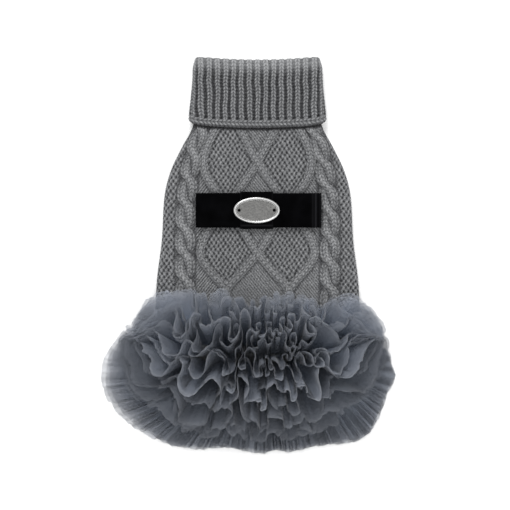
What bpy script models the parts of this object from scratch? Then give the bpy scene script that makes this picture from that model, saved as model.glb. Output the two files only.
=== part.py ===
"""Knitted dog dress with a folded rib collar, a ruffled tulle skirt and a flat bow, laid out on its belly.

Units are metres. +Y runs from the tail to the neck, +X to the dress's right as it is seen from above, +Z up.
The origin is on the flat underside of the belly panel, which is the plane that the dress lies on.
"""

import math
from collections import namedtuple

import bmesh
import bpy
import numpy as np
from mathutils import Vector

# ---------------------------------------------------------------- driving sizes
KNIT_WALL = 0.0025
TULLE_WALL = 0.001
RIBBON_WALL = 0.001
SEAM_GAP = 0.0003

NECK_SEAM_Y = 0.128
HEM_Y = -0.130
BODY_THICKNESS = 0.012
BODY_SIDE_ROUND = 0.008
SIDE_STUB = 0.001
FLAT_SHARE = 0.75
CROWN_DROP = 0.0015
CROWN_REACH = 0.090

COLLAR_THICKNESS = 0.019
COLLAR_SIDE_ROUND = 0.0115
COLLAR_TOP_Y = 0.187
COLLAR_TOP_RISE = 0.003
COLLAR_EDGE_Y = 0.1195
COLLAR_EDGE_RISE = 0.006
COLLAR_LAYER_GAP = 0.001

NECK_LIFT = KNIT_WALL + COLLAR_LAYER_GAP
NECK_RAMP_END_Y = 0.117
BELLY_RAMP_START_Y = 0.096
BACK_RAMP_START_Y = 0.062

LEG_OPENING_X = 0.036
LEG_OPENING_Y = 0.064
LEG_OPENING_WIDTH = 0.034
LEG_OPENING_LENGTH = 0.044
LEG_OPENING_SIDES = 20

ROW_HALF_WIDTH = 0.085
WAVE_COUNT = 8
WAVE_CROWDING = 0.4
BASE_ROW_Y = -0.126
BASE_END_RISE = 0.026
ROW_BEND_POWER = 6
FAN_POWER = 2.2
BASE_PLEATS = 22
BASE_PLEAT_HEIGHT = 0.0035
BASE_OVERHANG = 0.003
BASE_FALL_SHARE = 0.7
BASE_STEPS_PER_PLEAT = 4

BOW_CENTRE_X = 0.001
BOW_CENTRE_Y = 0.0424
BOW_LENGTH = 0.1186
BOW_WIDTH = 0.0327
BOW_HEIGHT = 0.0046
BOW_FOLD_RADIUS = 0.0016
CORNER_STEPS = 3
WRAP_CENTRE_X = -0.0008
WRAP_WIDTH = 0.031
WRAP_CORNER_RADIUS = 0.0007

BADGE_LENGTH = 0.044
BADGE_WIDTH = 0.025
BADGE_THICKNESS = 0.0018
BADGE_RIM = 0.0024
BADGE_RECESS = 0.0008
BADGE_EDGE = 0.0004
BADGE_SIDES = 40

# ---------------------------------------------------------------- sections and rows
Station = namedtuple("Station", "y half_width")
BODY_OUTLINE = [
    Station(y=-0.130, half_width=0.0930),
    Station(y=-0.070, half_width=0.0975),
    Station(y=-0.028, half_width=0.0965),
    Station(y=0.014, half_width=0.0915),
    Station(y=0.057, half_width=0.0888),
    Station(y=0.080, half_width=0.0830),
    Station(y=0.103, half_width=0.0720),
    Station(y=0.117, half_width=0.0640),
    Station(y=0.125, half_width=0.0610),
    Station(y=0.128, half_width=0.0610),
]
COLLAR_OUTLINE = [
    Station(y=0.118, half_width=0.0668),
    Station(y=0.128, half_width=0.0668),
    Station(y=0.149, half_width=0.0645),
    Station(y=0.168, half_width=0.0629),
    Station(y=0.180, half_width=0.0627),
    Station(y=0.190, half_width=0.0615),
]

# One spoke of the lowest ruffle: its place along the seam from -1 to 1, its bearing from straight
# towards the tail, and how far it reaches on the table.
Spoke = namedtuple("Spoke", "along bearing reach")
BASE_SPOKES = [
    Spoke(along=-1.0, bearing=-122, reach=0.053),
    Spoke(along=-0.9, bearing=-96, reach=0.073),
    Spoke(along=-0.8, bearing=-82, reach=0.081),
    Spoke(along=-0.65, bearing=-70, reach=0.084),
    Spoke(along=-0.5, bearing=-56, reach=0.083),
    Spoke(along=-0.25, bearing=-30, reach=0.070),
    Spoke(along=0.0, bearing=-2, reach=0.064),
    Spoke(along=0.3, bearing=10, reach=0.063),
    Spoke(along=0.6, bearing=27, reach=0.064),
    Spoke(along=0.75, bearing=39, reach=0.067),
    Spoke(along=0.87, bearing=51, reach=0.058),
    Spoke(along=0.95, bearing=68, reach=0.049),
    Spoke(along=1.0, bearing=98, reach=0.042),
]

# One upper ruffle: its seam, how far its two ends rise towards the neck, how steeply its middle stands
# (90 is upright, more leans to the neck), where its ends point (bearing and lift), its length at the left
# end, middle and right end, the height of its waves, and where its unevenness starts.
Tier = namedtuple("Tier", "name row_y end_rise lift end_bearing end_lift left middle right wave start")
TIERS = [
    Tier("skirt_tier_1", -0.1165, 0.026, 26, 104, 16, 0.057, 0.060, 0.042, 0.005, 0.0),
    Tier("skirt_tier_2", -0.1090, 0.023, 48, 109, 24, 0.056, 0.062, 0.043, 0.008, 1.1),
    Tier("skirt_tier_3", -0.1015, 0.020, 71, 115, 32, 0.054, 0.060, 0.044, 0.010, 2.4),
    Tier("skirt_tier_4", -0.0940, 0.017, 95, 123, 40, 0.054, 0.058, 0.046, 0.010, 3.3),
    Tier("skirt_tier_5", -0.0865, 0.014, 121, 135, 43, 0.050, 0.060, 0.047, 0.009, 4.6),
    Tier("skirt_tier_6", -0.0790, 0.011, 152, 152, 32, 0.046, 0.050, 0.043, 0.006, 5.5),
]
TIER_ROWS = (0, 0.3, 0.65, 1)
TIER_STEPS_PER_WAVE = 6
TIER_DROOP = 0.003
UNEVEN_WAVES = 0.28
UNEVEN_LENGTH = 0.04
UNEVEN_PERIOD = 5.0
EDGE_STEP = 0.002

KNIT_GREY = (0.16, 0.165, 0.17, 1.0)
TULLE_GREY = (0.10, 0.11, 0.135, 1.0)
RIBBON_BLACK = (0.004, 0.004, 0.005, 1.0)
BADGE_SILVER = (0.80, 0.80, 0.82, 1.0)
BADGE_ENAMEL = (0.27, 0.27, 0.28, 1.0)


# ---------------------------------------------------------------- helpers
def smooth_step(value):
    value = min(max(value, 0.0), 1.0)
    return value * value * (3 - 2 * value)


def read_table(table, key, column, position):
    """A smooth value between the rows of a table, by Catmull-Rom."""
    keys = [getattr(row, key) for row in table]
    values = [getattr(row, column) for row in table]
    position = min(max(position, keys[0]), keys[-1])
    i = min(max(int(np.searchsorted(keys, position)) - 1, 0), len(keys) - 2)
    span = keys[i + 1] - keys[i]
    before = max(i - 1, 0)
    after = min(i + 2, len(keys) - 1)
    slope_in = (values[i + 1] - values[before]) / (keys[i + 1] - keys[before]) * span
    slope_out = (values[after] - values[i]) / (keys[after] - keys[i]) * span
    t = (position - keys[i]) / span
    return (
        values[i] * (2 * t**3 - 3 * t**2 + 1)
        + slope_in * (t**3 - 2 * t**2 + t)
        + values[i + 1] * (3 * t**2 - 2 * t**3)
        + slope_out * (t**3 - t**2)
    )


def new_material(name, colour, roughness, metallic=0.0):
    material = bpy.data.materials.new(name)
    material.use_nodes = True
    shader = material.node_tree.nodes["Principled BSDF"]
    shader.inputs["Base Color"].default_value = colour
    shader.inputs["Roughness"].default_value = roughness
    shader.inputs["Metallic"].default_value = metallic
    return material


def new_object(name, bm, material, collection):
    mesh = bpy.data.meshes.new(name)
    bm.to_mesh(mesh)
    bm.free()
    mesh.shade_smooth()
    if material:
        mesh.materials.append(material)
    piece = bpy.data.objects.new(name, mesh)
    collection.objects.link(piece)
    return piece


def new_cloth(name, across, along, surface, wall, material, collection, closed=False):
    """A sheet through surface(a, b) for every a in across and b in along, given its wall by Solidify.

    The surface is the middle of the wall. A closed sheet is a tube: its last column is its first.
    """
    bm = bmesh.new()
    bmesh.ops.create_grid(bm, x_segments=len(across) - 1, y_segments=len(along) - 1, size=0.5)
    bm.verts.ensure_lookup_table()
    for index, vertex in enumerate(bm.verts):
        row, column = divmod(index, len(across))
        vertex.co = surface(across[column], along[row])
    if closed:
        bmesh.ops.remove_doubles(bm, verts=bm.verts, dist=1e-6)
    piece = new_object(name, bm, material, collection)
    thickness = piece.modifiers.new("wall", "SOLIDIFY")
    thickness.thickness = wall
    thickness.offset = 0.0
    thickness.use_even_offset = True
    return piece


# ---------------------------------------------------------------- sections of the knitted tubes
def crown_drop(x):
    """How far the upper side falls below its crown, so that the layers of a tube stay parallel."""
    return CROWN_DROP * (x / CROWN_REACH) ** 2


def half_section(along, half_width, half_height, side_round):
    """Half of a section from along=-1 to 1: flat, with rounded sides that take a quarter of the steps."""
    side = math.copysign(1.0, along)
    flat_end = half_width - side_round
    if abs(along) <= FLAT_SHARE:
        return Vector((flat_end * along / FLAT_SHARE, 0, half_height))
    angle = math.pi / 2 * (1 - abs(along)) / (1 - FLAT_SHARE)
    x = flat_end + side_round * math.cos(angle)
    return Vector((side * x, 0, SIDE_STUB + (half_height - SIDE_STUB) * math.sin(angle)))


def section_top(along, half_width, half_height, side_round):
    point = half_section(along, half_width, half_height, side_round)
    share = (point.z - SIDE_STUB) / (half_height - SIDE_STUB)
    return point - Vector((0, 0, crown_drop(point.x) * share))


def section_bottom(along, half_width, half_height, side_round):
    point = half_section(along, half_width, half_height, side_round)
    return Vector((point.x, 0, -point.z))


def body_half_width(y):
    return read_table(BODY_OUTLINE, "y", "half_width", y)


def lift_from(start_y, y):
    """How far a panel has risen, from its ramp's start, to meet the collar's inner tube."""
    return NECK_LIFT * smooth_step((y - start_y) / (NECK_RAMP_END_Y - start_y))


def body_levels(y):
    """Height of the side seam, and half the distance between the middles of the two panels' walls."""
    underside = lift_from(BELLY_RAMP_START_Y, y)
    topside = BODY_THICKNESS + lift_from(BACK_RAMP_START_Y, y)
    return (underside + topside) / 2, (topside - underside - KNIT_WALL) / 2


def panel_point(along, y, section, stub_side):
    """A point in the middle of a body panel's wall; an along past 1 or -1 is the end of the side's stub."""
    half_width = body_half_width(y) - KNIT_WALL / 2
    seam_z, half_height = body_levels(y)
    point = section(max(min(along, 1.0), -1.0), half_width, half_height, BODY_SIDE_ROUND)
    if abs(along) > 1:
        point.z = stub_side * SEAM_GAP / 2
    return point + Vector((0, y, seam_z))


def back_top(x, y):
    """Height of the back panel's outer face."""
    half_width = body_half_width(y) - KNIT_WALL / 2
    seam_z, half_height = body_levels(y)
    into_side = (abs(x) - half_width) / BODY_SIDE_ROUND + 1
    share = math.sqrt(1 - min(max(into_side, 0), 1) ** 2)
    wall_middle = SIDE_STUB + (half_height - SIDE_STUB - crown_drop(x)) * share
    return seam_z + wall_middle + KNIT_WALL / 2


# ---------------------------------------------------------------- knitted pieces
def body_rows():
    """Rows of the body from hem to neck, close together over the neck's ramp and straight at both ends."""
    middle = np.linspace(HEM_Y, BELLY_RAMP_START_Y, 9)
    ramp = np.linspace(BELLY_RAMP_START_Y, NECK_RAMP_END_Y, 4)[1:]
    return [*middle, *ramp, NECK_SEAM_Y - 0.003, NECK_SEAM_Y]


def make_back_panel(material, collection):
    across = [-1.1, *np.linspace(-1, 1, 17), 1.1]

    def surface(along, y):
        return panel_point(along, y, section_top, 1)

    return new_cloth("back_panel", across, body_rows(), surface, KNIT_WALL, material, collection)


def make_belly_panel(material, collection, cutters):
    across = [1.1, *np.linspace(1, -1, 17), -1.1]

    def surface(along, y):
        return panel_point(along, y, section_bottom, -1)

    panel = new_cloth("belly_panel", across, body_rows(), surface, KNIT_WALL, material, collection)
    for side in (-1, 1):
        cut = panel.modifiers.new("leg opening", "BOOLEAN")
        cut.operation = "DIFFERENCE"
        cut.object = make_leg_cutter(side, cutters)
    return panel


def make_leg_cutter(side, cutters):
    """An upright elliptical cylinder where a front leg comes out."""
    bm = bmesh.new()
    depth = 4 * KNIT_WALL
    bmesh.ops.create_cone(
        bm, cap_ends=True, segments=LEG_OPENING_SIDES, radius1=0.5, radius2=0.5, depth=depth
    )
    bmesh.ops.scale(bm, vec=(LEG_OPENING_WIDTH, LEG_OPENING_LENGTH, 1), verts=bm.verts)
    cutter = new_object(f"leg_cutter_{side}", bm, None, cutters)
    cutter.location = (side * LEG_OPENING_X, LEG_OPENING_Y, 0)
    cutter.hide_render = True
    cutter.display_type = "WIRE"
    return cutter


def collar_ring(turn, inset, y):
    """A point round the collar: turn runs 0 to 1 over the top from right to left, and 1 to 2 underneath."""
    half_width = read_table(COLLAR_OUTLINE, "y", "half_width", y) - KNIT_WALL / 2 - inset
    half_height = (COLLAR_THICKNESS - KNIT_WALL) / 2 - inset
    side_round = COLLAR_SIDE_ROUND - inset
    turn = turn % 2
    if turn <= 1:
        point = section_top(1 - 2 * turn, half_width, half_height, side_round)
    else:
        point = section_bottom(2 * (turn - 1) - 1, half_width, half_height, side_round)
    return point + Vector((0, y, COLLAR_THICKNESS / 2))


def collar_profile():
    """Steps of the collar's wall, from the neck seam up inside, over the fold and down outside.

    Each step is (layer, share). On the inner tube and the outer wall the share runs down from the fold to
    the level of the neck seam, so that the two stay parallel. The last step is the outer wall's free edge.
    """
    down = (0.0, 0.3, 0.65, 0.95, 1.0)
    inner = [("inner", share) for share in reversed(down)]
    fold = [("fold", share) for share in (0.33, 0.67)]
    outer = [("outer", share) for share in down[:-1]]
    return [*inner, *fold, *outer, ("edge", 1.0)]


def make_collar(material, collection):
    layer_step = KNIT_WALL + COLLAR_LAYER_GAP
    fold_radius = layer_step / 2

    top_half_width = read_table(COLLAR_OUTLINE, "y", "half_width", COLLAR_TOP_Y)
    profile = collar_profile()

    def surface(turn, step):
        layer, share = profile[step]
        side = collar_ring(turn, 0, COLLAR_TOP_Y).x / top_half_width
        fold_y = COLLAR_TOP_Y + COLLAR_TOP_RISE * side**2 - KNIT_WALL / 2 - fold_radius
        level_y = fold_y + (NECK_SEAM_Y + SEAM_GAP - fold_y) * share
        if layer == "inner":
            return collar_ring(turn, layer_step, level_y)
        if layer == "outer":
            return collar_ring(turn, 0, level_y)
        if layer == "edge":
            return collar_ring(turn, 0, COLLAR_EDGE_Y + COLLAR_EDGE_RISE * side**2)
        angle = math.pi * share
        point = collar_ring(turn, fold_radius * (1 + math.cos(angle)), fold_y)
        return point + Vector((0, fold_radius * math.sin(angle), 0))

    turns = [*np.linspace(0, 1, 17), *np.linspace(1, 2, 17)[1:]]
    steps = range(len(profile))
    return new_cloth("collar", turns, steps, surface, KNIT_WALL, material, collection, closed=True)


# ---------------------------------------------------------------- tulle skirt
def seam_point(along, row_y, end_rise):
    """A point on a ruffle's seam, which crosses the back panel and turns towards the neck at its two ends."""
    x = along * ROW_HALF_WIDTH
    y = row_y + end_rise * abs(along) ** ROW_BEND_POWER
    return Vector((x, y, back_top(x, y) + SEAM_GAP + TULLE_WALL / 2))


def wave_phase(along):
    """Phase of the ruffles along a seam: they crowd together in the middle and open out at the ends."""
    return math.pi * WAVE_COUNT * (along + WAVE_CROWDING * math.sin(math.pi * along) / math.pi)


def wave_steps(steps_per_wave):
    """Places along a seam that are evenly spaced in phase."""
    dense = np.linspace(-1, 1, 2001)
    phases = [wave_phase(along) for along in dense]
    wanted = np.linspace(phases[0], phases[-1], WAVE_COUNT * steps_per_wave + 1)
    return list(np.interp(wanted, phases, dense))


def direction(bearing, lift):
    """Unit vector at a lift and at a bearing from straight towards the tail, positive to the right.

    Both are in degrees.
    """
    bearing = math.radians(bearing)
    lift = math.radians(lift)
    flat = math.cos(lift)
    return Vector((math.sin(bearing) * flat, -math.cos(bearing) * flat, math.sin(lift)))


def run_to_edge(root, bearing):
    """How far a spoke runs before it has left the back panel, over its hem or its side."""
    almost_level = 0.01
    past_hem = (root.y - HEM_Y) / max(math.cos(bearing), almost_level)
    past_side = (body_half_width(root.y) - abs(root.x)) / max(abs(math.sin(bearing)), almost_level)
    return min(past_hem, past_side) + BASE_OVERHANG


def base_point(along, step):
    """The lowest ruffle: it leaves the seam level, falls to the table and lies there in radial pleats.

    The steps out are the seam, the end of the level stretch, the middle of the fall, its foot and the edge.
    """
    reach = read_table(BASE_SPOKES, "along", "reach", along)
    bearing = math.radians(read_table(BASE_SPOKES, "along", "bearing", along))
    root = seam_point(along, BASE_ROW_Y, BASE_END_RISE)
    level = run_to_edge(root, bearing)
    foot = level + (reach - level) * BASE_FALL_SHARE
    run = [0, level, (level + foot) / 2, foot, reach][step]
    fall = smooth_step((run - level) / (foot - level))
    pleat = 0.5 + 0.5 * math.cos(math.pi * BASE_PLEATS * along)
    rise = BASE_PLEAT_HEIGHT * pleat * smooth_step((run - level) / (reach - level))
    height = root.z + (TULLE_WALL / 2 - root.z) * fall + rise
    return Vector((root.x + run * math.sin(bearing), root.y - run * math.cos(bearing), height))


def make_skirt_base(material, collection):
    across = list(np.linspace(-1, 1, BASE_PLEATS * BASE_STEPS_PER_PLEAT + 1))
    return new_cloth("skirt_base", across, range(5), base_point, TULLE_WALL, material, collection)


def tier_spoke(tier, along):
    """The direction and length of a tier's cloth at a place along its seam."""
    middle = direction(0, tier.lift)
    end = direction(math.copysign(tier.end_bearing, along), tier.end_lift)
    share = abs(along) ** FAN_POWER
    turn = middle.angle(end)
    spoke = (middle * math.sin((1 - share) * turn) + end * math.sin(share * turn)) / math.sin(turn)
    end_length = tier.left if along < 0 else tier.right
    return spoke, tier.middle + (end_length - tier.middle) * share


def tier_sheet(tier, along, out):
    """The tier without its waves."""
    spoke, length = tier_spoke(tier, along)
    length *= 1 + UNEVEN_LENGTH * math.sin(2 * UNEVEN_PERIOD * along + tier.start)
    root = seam_point(along, tier.row_y, tier.end_rise)
    return root + spoke * (length * out) - Vector((0, 0, TIER_DROOP * out * out))


def tier_point(tier, along, out):
    """The tier with its waves, which push the cloth to and fro across its own sheet."""
    spoke, _ = tier_spoke(tier, along)
    edge = tier_sheet(tier, min(along + EDGE_STEP, 1), 1) - tier_sheet(tier, max(along - EDGE_STEP, -1), 1)
    facing = edge.cross(spoke).normalized()
    height = tier.wave * (1 + UNEVEN_WAVES * math.sin(UNEVEN_PERIOD * along + tier.start))
    return tier_sheet(tier, along, out) + facing * (height * out * math.cos(wave_phase(along)))


def make_skirt_tier(tier, material, collection):
    def surface(along, out):
        return tier_point(tier, along, out)

    across = wave_steps(TIER_STEPS_PER_WAVE)
    return new_cloth(tier.name, across, TIER_ROWS, surface, TULLE_WALL, material, collection)


# ---------------------------------------------------------------- bow and badge
def bow_base_z():
    """The height of the bow's lowest face: just above the back panel's crown under it."""
    return back_top(0, BOW_CENTRE_Y) + SEAM_GAP


def band_outline(half_length, half_height, radius):
    """A ribbon loop seen edge on: a flat rectangle with round corners, as (run, height) points."""
    outline = []
    for corner, (side, level) in enumerate([(1, 1), (-1, 1), (-1, -1), (1, -1)]):
        centre_run = side * (half_length - radius)
        centre_height = level * (half_height - radius)
        for angle in np.linspace(corner * math.pi / 2, (corner + 1) * math.pi / 2, CORNER_STEPS + 1):
            outline.append((centre_run + radius * math.cos(angle), centre_height + radius * math.sin(angle)))
    return outline


def make_band(name, centre, outline, width, along_x, material, collection):
    """A ribbon sewn into a flattened loop that runs along X or along Y."""

    def surface(turn, side):
        run, height = outline[turn % len(outline)]
        flat = (run, side * width / 2) if along_x else (side * width / 2, run)
        return centre + Vector((*flat, height))

    turns = range(len(outline) + 1)
    return new_cloth(name, turns, [-1, 0, 1], surface, RIBBON_WALL, material, collection, closed=True)


def make_bow(material, collection):
    step = RIBBON_WALL + SEAM_GAP
    loop_centre = Vector((BOW_CENTRE_X, BOW_CENTRE_Y, bow_base_z() + step + BOW_HEIGHT / 2))
    wrap_centre = Vector((WRAP_CENTRE_X, BOW_CENTRE_Y, loop_centre.z))
    wrap_height = BOW_HEIGHT / 2 + step
    middle = RIBBON_WALL / 2
    loop = band_outline(BOW_LENGTH / 2 - middle, BOW_HEIGHT / 2 - middle, BOW_FOLD_RADIUS)
    wrap_reach = BOW_WIDTH / 2 + step - middle
    wrap = band_outline(wrap_reach, wrap_height - middle, WRAP_CORNER_RADIUS)
    make_band("bow_loop", loop_centre, loop, BOW_WIDTH, True, material, collection)
    make_band("bow_wrap", wrap_centre, wrap, WRAP_WIDTH, False, material, collection)
    return wrap_centre + Vector((0, 0, wrap_height + SEAM_GAP))


def make_oval(name, length, width, height, place, material, collection):
    bm = bmesh.new()
    bmesh.ops.create_cone(bm, cap_ends=True, segments=BADGE_SIDES, radius1=0.5, radius2=0.5, depth=height)
    bmesh.ops.scale(bm, vec=(length, width, 1), verts=bm.verts)
    bmesh.ops.translate(bm, vec=place + Vector((0, 0, height / 2)), verts=bm.verts)
    return new_object(name, bm, material, collection)


def make_badge(seat, silver, enamel, collection, cutters):
    plate = make_oval("badge_plate", BADGE_LENGTH, BADGE_WIDTH, BADGE_THICKNESS, seat, silver, collection)
    well = (BADGE_LENGTH - 2 * BADGE_RIM, BADGE_WIDTH - 2 * BADGE_RIM)
    floor = seat + Vector((0, 0, BADGE_THICKNESS - BADGE_RECESS))
    cutter = make_oval("badge_cutter", *well, 2 * BADGE_RECESS, floor, None, cutters)
    cutter.hide_render = True
    cutter.display_type = "WIRE"
    edge = plate.modifiers.new("rounded edge", "BEVEL")
    edge.width = BADGE_EDGE
    edge.limit_method = "ANGLE"
    cut = plate.modifiers.new("well", "BOOLEAN")
    cut.operation = "DIFFERENCE"
    cut.object = cutter
    inlay_size = [size - 2 * SEAM_GAP for size in well]
    inlay_place = floor + Vector((0, 0, SEAM_GAP))
    make_oval("badge_inlay", *inlay_size, BADGE_RECESS - SEAM_GAP, inlay_place, enamel, collection)


# ---------------------------------------------------------------- build
def new_collection(name):
    collection = bpy.data.collections.new(name)
    bpy.context.scene.collection.children.link(collection)
    return collection


def main():
    for old in list(bpy.data.objects):
        bpy.data.objects.remove(old)
    dress = new_collection("dog dress")
    cutters = new_collection("cutters")
    knit = new_material("knit", KNIT_GREY, 0.9)
    tulle = new_material("tulle", TULLE_GREY, 0.8)
    ribbon = new_material("ribbon", RIBBON_BLACK, 0.4)
    silver = new_material("silver", BADGE_SILVER, 0.2, metallic=1.0)
    enamel = new_material("enamel", BADGE_ENAMEL, 0.35)
    make_back_panel(knit, dress)
    make_belly_panel(knit, dress, cutters)
    make_collar(knit, dress)
    make_skirt_base(tulle, dress)
    for tier in TIERS:
        make_skirt_tier(tier, tulle, dress)
    badge_seat = make_bow(ribbon, dress)
    make_badge(badge_seat, silver, enamel, dress, cutters)


main()
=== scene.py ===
"""Looks of the knitted dog dress: stitches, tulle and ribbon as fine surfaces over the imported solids.

Metres, in the part's frame: +Y to the neck, +X to the dress's right, +Z up. The sections and the ruffles'
tables repeat those of the part's source, because they shape the same cloth.
"""

import math
from collections import namedtuple

import bpy
import numpy as np
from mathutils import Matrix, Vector


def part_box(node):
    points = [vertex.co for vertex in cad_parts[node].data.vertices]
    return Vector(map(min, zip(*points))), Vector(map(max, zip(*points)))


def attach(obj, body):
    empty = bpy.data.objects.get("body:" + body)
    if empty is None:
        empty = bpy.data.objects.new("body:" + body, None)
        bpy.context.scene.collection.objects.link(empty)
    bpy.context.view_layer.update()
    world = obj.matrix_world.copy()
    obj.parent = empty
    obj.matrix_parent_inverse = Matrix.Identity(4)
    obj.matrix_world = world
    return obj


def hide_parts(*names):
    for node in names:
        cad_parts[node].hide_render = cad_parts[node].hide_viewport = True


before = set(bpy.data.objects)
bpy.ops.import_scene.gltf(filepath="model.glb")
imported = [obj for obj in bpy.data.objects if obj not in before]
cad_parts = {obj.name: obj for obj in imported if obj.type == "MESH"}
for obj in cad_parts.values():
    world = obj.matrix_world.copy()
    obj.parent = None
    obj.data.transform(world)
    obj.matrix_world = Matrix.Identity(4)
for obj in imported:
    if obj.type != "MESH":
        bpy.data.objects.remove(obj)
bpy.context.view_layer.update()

MM = 0.001

# ---------- sizes shared with the part's source
KNIT_WALL = 0.0025
TULLE_WALL = 0.001
SEAM_GAP = 0.0003
BODY_THICKNESS = 0.012
BODY_SIDE_ROUND = 0.008
SIDE_STUB = 0.001
CROWN_DROP = 0.0015
CROWN_REACH = 0.090
COLLAR_THICKNESS = 0.019
COLLAR_SIDE_ROUND = 0.0115
COLLAR_TOP_Y = 0.187
COLLAR_TOP_RISE = 0.003
COLLAR_EDGE_Y = 0.1195
COLLAR_EDGE_RISE = 0.006
COLLAR_LAYER_GAP = 0.001
NECK_SEAM_Y = 0.128
NECK_LIFT = KNIT_WALL + COLLAR_LAYER_GAP
NECK_RAMP_END_Y = 0.117
BELLY_RAMP_START_Y = 0.096
BACK_RAMP_START_Y = 0.062
HEM_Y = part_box("back_panel")[0].y
LEG_OPENING_X = 0.036
LEG_OPENING_Y = 0.064
LEG_OPENING_WIDTH = 0.034
LEG_OPENING_LENGTH = 0.044
ROW_HALF_WIDTH = 0.085
ROW_BEND_POWER = 6
BASE_ROW_Y = -0.126
BASE_END_RISE = 0.026
BASE_OVERHANG = 0.003
BASE_FALL_SHARE = 0.7
FAN_POWER = 2.2
TIER_DROOP = 0.003


def table(columns, *rows):
    """A short table: rows of values with named columns. It is read by its first column."""
    row_of = namedtuple("Row", columns)
    return [row_of(*row) for row in rows]


BODY_OUTLINE = table(
    "y half_width",
    (-0.130, 0.0930),
    (-0.070, 0.0975),
    (-0.028, 0.0965),
    (0.014, 0.0915),
    (0.057, 0.0888),
    (0.080, 0.0830),
    (0.103, 0.0720),
    (0.117, 0.0640),
    (0.125, 0.0610),
    (0.128, 0.0610),
)
COLLAR_OUTLINE = table(
    "y half_width",
    (0.118, 0.0668),
    (0.128, 0.0668),
    (0.149, 0.0645),
    (0.168, 0.0629),
    (0.180, 0.0627),
    (0.190, 0.0615),
)
BASE_SPOKES = table(
    "along bearing reach",
    (-1.0, -122, 0.053),
    (-0.9, -96, 0.073),
    (-0.8, -82, 0.081),
    (-0.65, -70, 0.084),
    (-0.5, -56, 0.083),
    (-0.25, -30, 0.070),
    (0.0, -2, 0.064),
    (0.3, 10, 0.063),
    (0.6, 27, 0.064),
    (0.75, 39, 0.067),
    (0.87, 51, 0.058),
    (0.95, 68, 0.049),
    (1.0, 106, 0.042),
)
TIERS = table(
    "name row_y end_rise lift end_bearing end_lift left middle right",
    ("skirt_tier_1", -0.1165, 0.026, 26, 104, 16, 0.057, 0.060, 0.042),
    ("skirt_tier_2", -0.1090, 0.023, 48, 109, 24, 0.056, 0.062, 0.043),
    ("skirt_tier_3", -0.1015, 0.020, 71, 115, 32, 0.054, 0.060, 0.044),
    ("skirt_tier_4", -0.0940, 0.017, 95, 123, 40, 0.054, 0.058, 0.046),
    ("skirt_tier_5", -0.0865, 0.014, 121, 135, 43, 0.050, 0.060, 0.047),
    ("skirt_tier_6", -0.0790, 0.011, 152, 152, 32, 0.046, 0.050, 0.043),
)

# ---------- the tulle's own sizes
TIER_PLIES = 4
BASE_PLIES = 3
BASE_COLUMNS = 760
BASE_ROWS = 24
BASE_FLAT = (0.93, 0.072)
RUFFLE_WIDTH = 0.050
TOP_RUFFLE_WIDTH = 0.040
EDGE_STEP = 0.0012
MOST_STEPS = 1800
TIER_ROWS = 17
MOST_SWING = 2.12
SEAM_WINDOW = 0.058
PAIR_LEAN = 0.20
LEAN_WANDER = 0.20
END_TURN = 0.20
PETAL_UNEVEN = 0.20
POINT_PITCH = 0.070
# How much lighter the highest ruffle's middle is painted, as painted light, and how much darker the lowest
# ruffle, as painted shade.
TOP_PAINTED_LIGHT = 1.52
BASE_PAINTED_SHADE = 0.77
# The lowest ruffle's pleats from its left end to its middle, and how high they rise; its height at rest.
FINE_PLEATS = 37
WIDE_PLEATS = 13
FINE_PLEAT_RISE = 0.0014
WIDE_PLEAT_RISE = 0.0019
BASE_REST = 0.0006
TWIN_GAP = 0.0024
GATHER_PITCH = 0.0088
GATHER_DEPTH = 0.0015
ROOT_SINK = 0.0014
ROOM_OVER_KNIT = 0.0032
ROOM_OVER_TABLE = 0.006
ROOM_PER_PLY = 0.0006
LANDING = 0.002
LANDING_SINK = 0.0018
CUT_EDGE = 0.0013
# The share of its cut edges' length that a ruffle's flat cloth has, since the seam gathers the rest.
FLAT_SHARE = 0.75
# How the cut edges wind along a strip: the length of a wave, and how far its heading swings, in radians.
WAVES = table(
    "along length swing",
    (-1.0, 0.110, 0.70),
    (-0.82, 0.095, 0.95),
    (-0.64, 0.046, 1.70),
    (-0.38, 0.074, 1.72),
    (-0.10, 0.042, 1.88),
    (0.14, 0.026, 1.95),
    (0.36, 0.033, 1.88),
    (0.60, 0.056, 1.60),
    (0.82, 0.095, 0.95),
    (1.0, 0.110, 0.70),
)
# What each strip does beyond its solid, from the lowest to the highest: how far its ends turn back to the
# tail, in degrees; how far its free edge sinks in the middle, and how much further at its ends; how much
# longer its two ends reach; and how much longer and calmer its waves are than in the table above.
LOOKS = table(
    "end_curl edge_sink side_sink left_stretch right_stretch calmness",
    (-8, 0.012, 0.0, -0.04, 0.07, 1.9),
    (-8, 0.007, 0.002, -0.10, 0.0, 1.6),
    (4, 0.002, 0.006, 0.0, 0.0, 1.2),
    (36, 0.0, 0.009, 0.0, 0.0, 1.0),
    (60, 0.0, 0.011, 0.0, 0.0, 1.0),
    (78, 0.0, 0.012, 0.0, 0.0, 1.25),
)
# How far the highest strip reaches in its tongues and the notches between them, as a share of its solid.
TONGUES = table(
    "along reach",
    (-1.0, 0.90),
    (-0.93, 0.99),
    (-0.85, 1.20),
    (-0.74, 0.98),
    (-0.56, 0.78),
    (-0.36, 0.93),
    (-0.22, 0.72),
    (-0.09, 0.24),
    (0.06, 0.66),
    (0.19, 0.90),
    (0.28, 0.76),
    (0.39, 0.92),
    (0.56, 0.80),
    (0.74, 0.90),
    (0.85, 0.99),
    (0.93, 0.93),
    (1.0, 1.08),
)
# How much longer or shorter the lowest ruffle lies on the table than its solid does.
HEM_TRIMS = table(
    "along share",
    (-1.0, 0.0),
    (-0.64, 0.0),
    (-0.50, -0.02),
    (-0.42, 0.0),
    (-0.33, 0.03),
    (-0.25, 0.0),
    (-0.15, -0.07),
    (-0.055, -0.02),
    (0.055, 0.025),
    (0.16, -0.015),
    (0.245, 0.03),
    (0.44, -0.035),
    (0.60, 0.0),
    (0.93, 0.0),
    (0.968, 0.12),
    (0.981, 0.01),
    (0.991, 0.02),
    (1.0, -0.07),
)

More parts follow.
